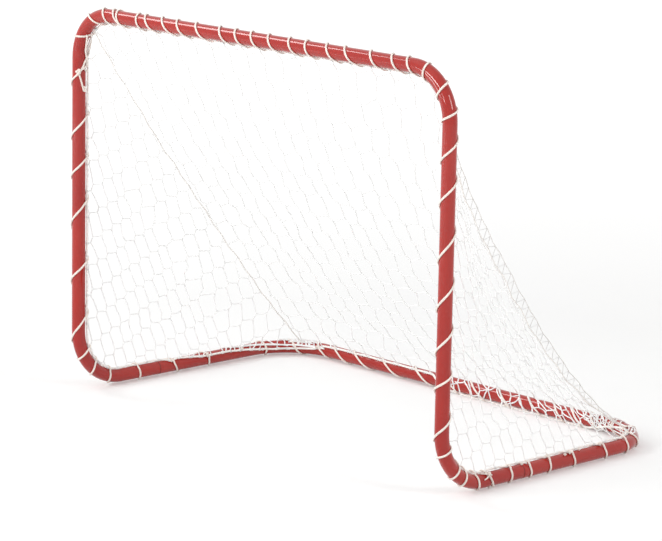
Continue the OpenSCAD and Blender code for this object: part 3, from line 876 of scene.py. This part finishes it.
def hang(bm, place, slack, seed, reach=70 * MM):
    """Moves a flat lattice to its hung surface and ties its cut ends to the nearest cord."""
    rim = bm.verts.layers.int["rim"]
    for v in bm.verts:
        v.co = place(v.co.x, v.co.y)
    pulls = []
    for v in bm.verts:
        if v[rim]:
            end = tie_tree.find(v.co)[0]
            pulls.append((v.co.copy(), end - v.co))
            tied.append(end.copy())
    for v in bm.verts:
        weight, move, near = 1 / reach ** 2, Vector(), reach
        for at, shift in pulls:
            gap = (v.co - at).length
            near = min(near, gap)
            if gap < reach:
                share = 1 / (gap * gap + 1e-9)
                weight += share
                move += shift * share
        slow = noise.noise_vector((v.co + Vector((seed, 0, 0))) * 22)
        wobble = slow + noise.noise_vector(v.co * 70) * 0.5
        v.co += move / weight + wobble * slack * near / reach


def twine_piece(bm, name, radius, joint_size, nodes):
    """Turns a hung lattice into round twine, with a thicker spindle at every joint."""
    kind = bm.edges.layers.int["kind"]
    joints = [(e.verts[0].co.copy(), e.verts[1].co.copy()) for e in bm.edges if e[kind] == JOINT]
    wire = mesh_object(name, bm)
    bpy.ops.object.select_all(action="DESELECT")
    wire.select_set(True)
    bpy.context.view_layer.objects.active = wire
    bpy.ops.object.convert(target="CURVE")
    wire = bpy.context.view_layer.objects.active
    wire.data.bevel_depth = radius
    wire.data.bevel_resolution = 1
    wire.data.use_fill_caps = True
    bpy.ops.object.convert(target="MESH")
    wire = bpy.context.view_layer.objects.active
    bm = bmesh.new()
    bm.from_mesh(wire.data)
    for a, b in joints:
        along = b - a
        if along.length < 0.01 * MM:
            continue
        z = along.normalized()
        x = z.orthogonal().normalized()
        turned = Matrix((x, z.cross(x), z)).transposed().to_4x4()
        size = Matrix.Diagonal((joint_size, joint_size, along.length * 0.72, 1))
        bmesh.ops.create_icosphere(bm, subdivisions=1, radius=1,
                                   matrix=Matrix.Translation((a + b) / 2) @ turned @ size)
    uv = bm.loops.layers.uv.new("cord")
    for face in bm.faces:
        face.smooth = True
        for loop in face.loops:
            loop[uv].uv = (loop.vert.co.x / (5 * MM), (loop.vert.co.z - loop.vert.co.y) / (2 * radius))
    bm.to_mesh(wire.data)
    bm.free()
    wire.data.materials.clear()
    wire.data.materials.append(twine)
    wire.name = wire.data.name = name
    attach(wire, "root")
    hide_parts(*nodes)
    print(f"{name}: {len(joints)} joints, {sum(len(p.vertices) - 2 for p in wire.data.polygons)} triangles")


# %% [markdown]
# ## Panels
#
# The back panel fills the space between four lines: the border under the crossbar, the two seams and the
# rear bar. Its hung surface blends the two pairs of lines, which is a Coons patch. A side panel is a
# triangle with a round lower front corner, cut along the uprights, the foot and the seam. It is nearly flat,
# leans inwards and is drawn down near the sagging seam.

# %% Back panel
BACK_W, BACK_H = 700 * MM, 700 * MM


def back_place(x, y):
    s, t = x / BACK_W + 0.5, y / BACK_H
    left, right = seam_point(-1, t), seam_point(1, t)
    top = border_place(seam_ends[-1][0] + (seam_ends[1][0] - seam_ends[-1][0]) * s)
    rear = beside(seam_ends[-1][1] + (seam_ends[1][1] - seam_ends[-1][1]) * s, PANEL_FOOT, TUBE + TWINE)
    corners = [seam_point(side, end) for end in (0, 1) for side in (-1, 1)]
    flat = corners[0].lerp(corners[1], s).lerp(corners[2].lerp(corners[3], s), t)
    return left.lerp(right, s) + top.lerp(rear, t) - flat


half = BACK_W / 2
bm = flat_netting(24, 18, flat_mm(35, 0), flat_mm(-4.5, 43), flat_mm(4, 10.5), flat_mm(-372, -30),
                  [((0, 0), (0, -1)), ((0, BACK_H), (0, 1)), ((-half, 0), (-1, 0)), ((half, 0), (1, 0))])
hang(bm, back_place, slack=4.2 * MM, seed=0)
twine_piece(bm, "back_netting", TWINE, 1.15 * MM, ["back_net"])


# %% Side panels
FOOT_BEND = 80 * MM


def side_cuts(side):
    """In the panel, X is distance behind the uprights' axis and Y is distance below the top."""
    top, rear = seam_point(side, 0), seam_point(side, 1)
    height, depth = top.z - BASE_Z, rear.y - FRONT_Y
    behind = top.y - FRONT_Y
    line = Vector((depth - behind, height)).normalized()
    cuts = [((behind + 1 * MM, 0), (-1, 0)), ((0, height - 8 * MM), (0, 1)), ((behind, 0), (line.y, -line.x))]
    middle = Vector((FOOT_BEND, height - FOOT_BEND))
    for angle in (18, 36, 54, 72):  # the round corner, as four short cuts
        away = Vector((-cos(radians(angle)), sin(radians(angle))))
        cuts.append((middle + away * (FOOT_BEND - TUBE), away))
    return height, behind, line, cuts


def side_place_for(side, height, behind, line):
    long = (seam_point(side, 1) - seam_point(side, 0)).length

    def place(x, y):
        from_top = Vector((x - behind, y))
        t = max(0.0, min(1.0, from_top.dot(line) / long))
        off = max(0.0, from_top.x * -line.y + from_top.y * line.x)
        share = 1 / (1 + (off / (90 * MM)) ** 2)
        inward = 8 * MM + 20 * MM * max(0.0, 1 - off / (75 * MM))
        drop = SAG[side] * slack_at(t) * share
        return Vector((side * (HALF_X - inward), FRONT_Y + x - drop * line.y,
                       BASE_Z + height - y - drop * line.x))
    return place


for side, name in ((-1, "left"), (1, "right")):
    height, behind, line, cuts = side_cuts(side)
    bm = flat_netting(36, 14, flat_mm(-18.6, 7.3), flat_mm(8.7, 36), flat_mm(-3.1, 7.3), flat_mm(490, -30),
                      cuts)
    hang(bm, side_place_for(side, height, behind, line), slack=2.6 * MM, seed=3 + side)
    twine_piece(bm, f"{name}_netting", TWINE, 1.1 * MM, [f"{name}_net"])

# %% [markdown]
# ## Hitches
#
# Every twine that was cut at the edge is hitched round the border cord where it meets it. A hitch is a turn
# and a half of twine. They all have the same few faces, because there are hundreds of them.

# %% Hitches
border_tree = tree_of(border_points)

HITCH, HITCH_WIDE, HITCH_STEPS = 0.6 * MM, 2.4 * MM, 8
bm = new_cord_bmesh()
made = 0
for end in tied:
    p, i, far = border_tree.find(end)
    if far > 2 * MM:
        continue
    along = (border_points[(i + 1) % BORDER_STEPS] - border_points[i - 1]).normalized()
    x = along.orthogonal().normalized()
    y = along.cross(x)
    loop = []
    for k in range(HITCH_STEPS + 1):
        part = k / HITCH_STEPS
        a = part * 3 * pi
        loop.append(p + (x * cos(a) + y * sin(a)) * (BORDER + 0.3 * MM) + along * (part - 0.5) * HITCH_WIDE)
    grow_cord(bm, loop, HITCH, sides=4)
    made += 1
keep_above(bm)
hitches = finish_cord(bm, "hitches", twine)
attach(hitches, "root")
print(made, "hitches")

# %% [markdown]
# ## Knots
#
# The lacing starts and ends at a knot on the left upright, which has two short tails and one end that climbs
# the upright. One small knot on the right side tube has three loose ends. The other small knots tie
# the border down on the side tubes, and the foot of the net to the border on the rear bar. Each knot is one
# length of cord whose line is a small tight trefoil, the plainest closed tangle, pressed flat against the
# tube. Tails are paths of (millimetres along the route, angle, height above the paint).

# %% Knot line
def knot_points(centre, out, along, size, count=40, deep=0.55):
    """A trefoil round a centre. Out points away from the tube."""
    across = along.cross(out).normalized()
    made = []
    for i in range(count):
        a = 2 * pi * i / count
        x = sin(a) + 2 * sin(2 * a)
        y = cos(a) - 2 * cos(2 * a)
        made.append(centre + (along * x + across * y) * size / 3 + out * (-sin(3 * a)) * size * deep)
    return made


def tube_frame(s, angle):
    point, along, _ = route(s * MM)
    out = (beside(s * MM, angle, 1) - point).normalized()
    return along, out


# %% End knot
KNOT_S, KNOT_A = 588, 138
bm = new_cord_bmesh()
along, out = tube_frame(KNOT_S, KNOT_A)
centre = beside(KNOT_S * MM, KNOT_A, TUBE + 3.6 * MM)
grow_cord(bm, knot_points(centre, out, along, 2.9 * MM, deep=0.75), LACE * 1.15, sides=8, closed=True)
tail = [(584, 142, 3.4), (579, 150, 2.2), (573, 159, 1.6), (567, 168, 1.5), (562, 175, 1.7), (559, 181, 2.6),
        (561, 185, 3.6), (565, 181, 3.4), (565, 175, 2.8)]
rising = [(590, 146, 3.4), (593, 178, 2.4), (597, 208, 1.8), (606, 213, 1.8), (618, 192, 1.8), (629, 188, 1.8),
          (642, 176, 1.8), (654, 160, 2.4)]
short = [(590, 150, 3.4), (593, 166, 2.4), (592, 182, 1.8), (589, 196, 2.0), (587, 206, 3.0)]
for path, thinner in ((tail, 0.85), (rising, 0.95), (short, 0.85)):
    grow_cord(bm, laid(path), LACE * thinner, sides=7)
end_knot = finish_cord(bm, "end_tie", lacing_cord, doubles=1e-6)
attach(end_knot, "root")
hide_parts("end_knot")

# %% Small ties
SMALL, BIG_FROM = 0.95 * MM, 1.9
small_knots = [  # millimetres along the route, angle, size
    (1984, 314, 2.7), (2052, 288, 1.6), (2103, 284, 2.0), (2145, 298, 2.2), (2136, 300, 1.5), (2208, 292, 2.0),
    (2168, 284, 1.3), (3212, 214, 2.0), (3140, 216, 2.2), (3282, 232, 1.8), (2990, 205, 2.0), (3180, 216, 1.6),
    (2475, 116, 2.0), (2506, 116, 1.8), (2545, 116, 1.6), (2586, 116, 2.2), (2634, 116, 1.8), (2660, 116, 1.6),
]
loose_ends = [
    [(1984, 314, 3.5), (1987, 338, 1.5), (1989, 2, 1.2)],
    [(1984, 314, 3.5), (1978, 330, 2.0), (1973, 338, 1.4)],
    [(1984, 314, 3.5), (1977, 296, 2.2), (1972, 286, 1.6)],
]
bm = new_cord_bmesh()
for s, angle, size in small_knots:
    big = size > BIG_FROM
    along, out = tube_frame(s, angle)
    centre = beside(s * MM, angle, TUBE + 2.4 * MM + (BORDER if big else 0))
    centre.z = max(centre.z, 3 * MM)
    grow_cord(bm, knot_points(centre, out, along, size * MM, count=26), SMALL, sides=6, closed=True)
    if big:
        side = noise.noise_vector(Vector((s, 1, 1))).normalized()
        tip = centre + (side * 0.8 + out * 0.5) * 5 * MM
        grow_cord(bm, [centre, centre.lerp(tip, 0.5) + out * MM, tip], 0.8 * MM, sides=5)
for path in loose_ends:
    grow_cord(bm, laid(path), SMALL, sides=6)
keep_above(bm)
ties = finish_cord(bm, "small_ties", lacing_cord, doubles=1e-6)
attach(ties, "root")
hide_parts("tie_knots")

# %% [markdown]
# ## Joint lines
#
# The rear base's thin ends push into the hoop's legs, and the two tubes meet in a fine dark line, where
# the light doesn't reach and dirt gathers. A thin dark ring lies in each joint: its darkness is painted
# shade, and its fine grain is dirt.

# %% Joint lines
shade = bpy.data.materials.new("joint_shade")
tree = nodes_of(shade)
place = node(tree, "TexCoord").outputs["Object"]
grit = node(tree, "TexNoise", {"Scale": 900.0, "Detail": 3.0}, {"Vector": place})
# The ring's dark colour is painted shade in the joint, and the grain in it is dirt.
shade_and_grime = two_tone(tree, grit.outputs["Fac"], (0.020, 0.004, 0.003), (0.045, 0.010, 0.008))
rough = node(tree, "Bump", {"Strength": 0.4, "Distance": 0.0001}, {"Height": grit.outputs["Fac"]})
dark = node(tree, "BsdfPrincipled", {"Roughness": 0.7},
            {"Base Color": shade_and_grime, "Normal": rough.outputs["Normal"]})
node(tree, "OutputMaterial", links={"Surface": dark.outputs[0]})
bm = new_cord_bmesh()
joints_at = (0.0, starts[9])
for s in joints_at:
    grow_cord(bm, [beside(s, a, TUBE) for a in range(0, 360, 10)], 0.25 * MM, sides=6, closed=True)
joint_lines = finish_cord(bm, "joint_lines", shade)
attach(joint_lines, "root")
print("joint lines at", [round(s, 4) for s in joints_at])
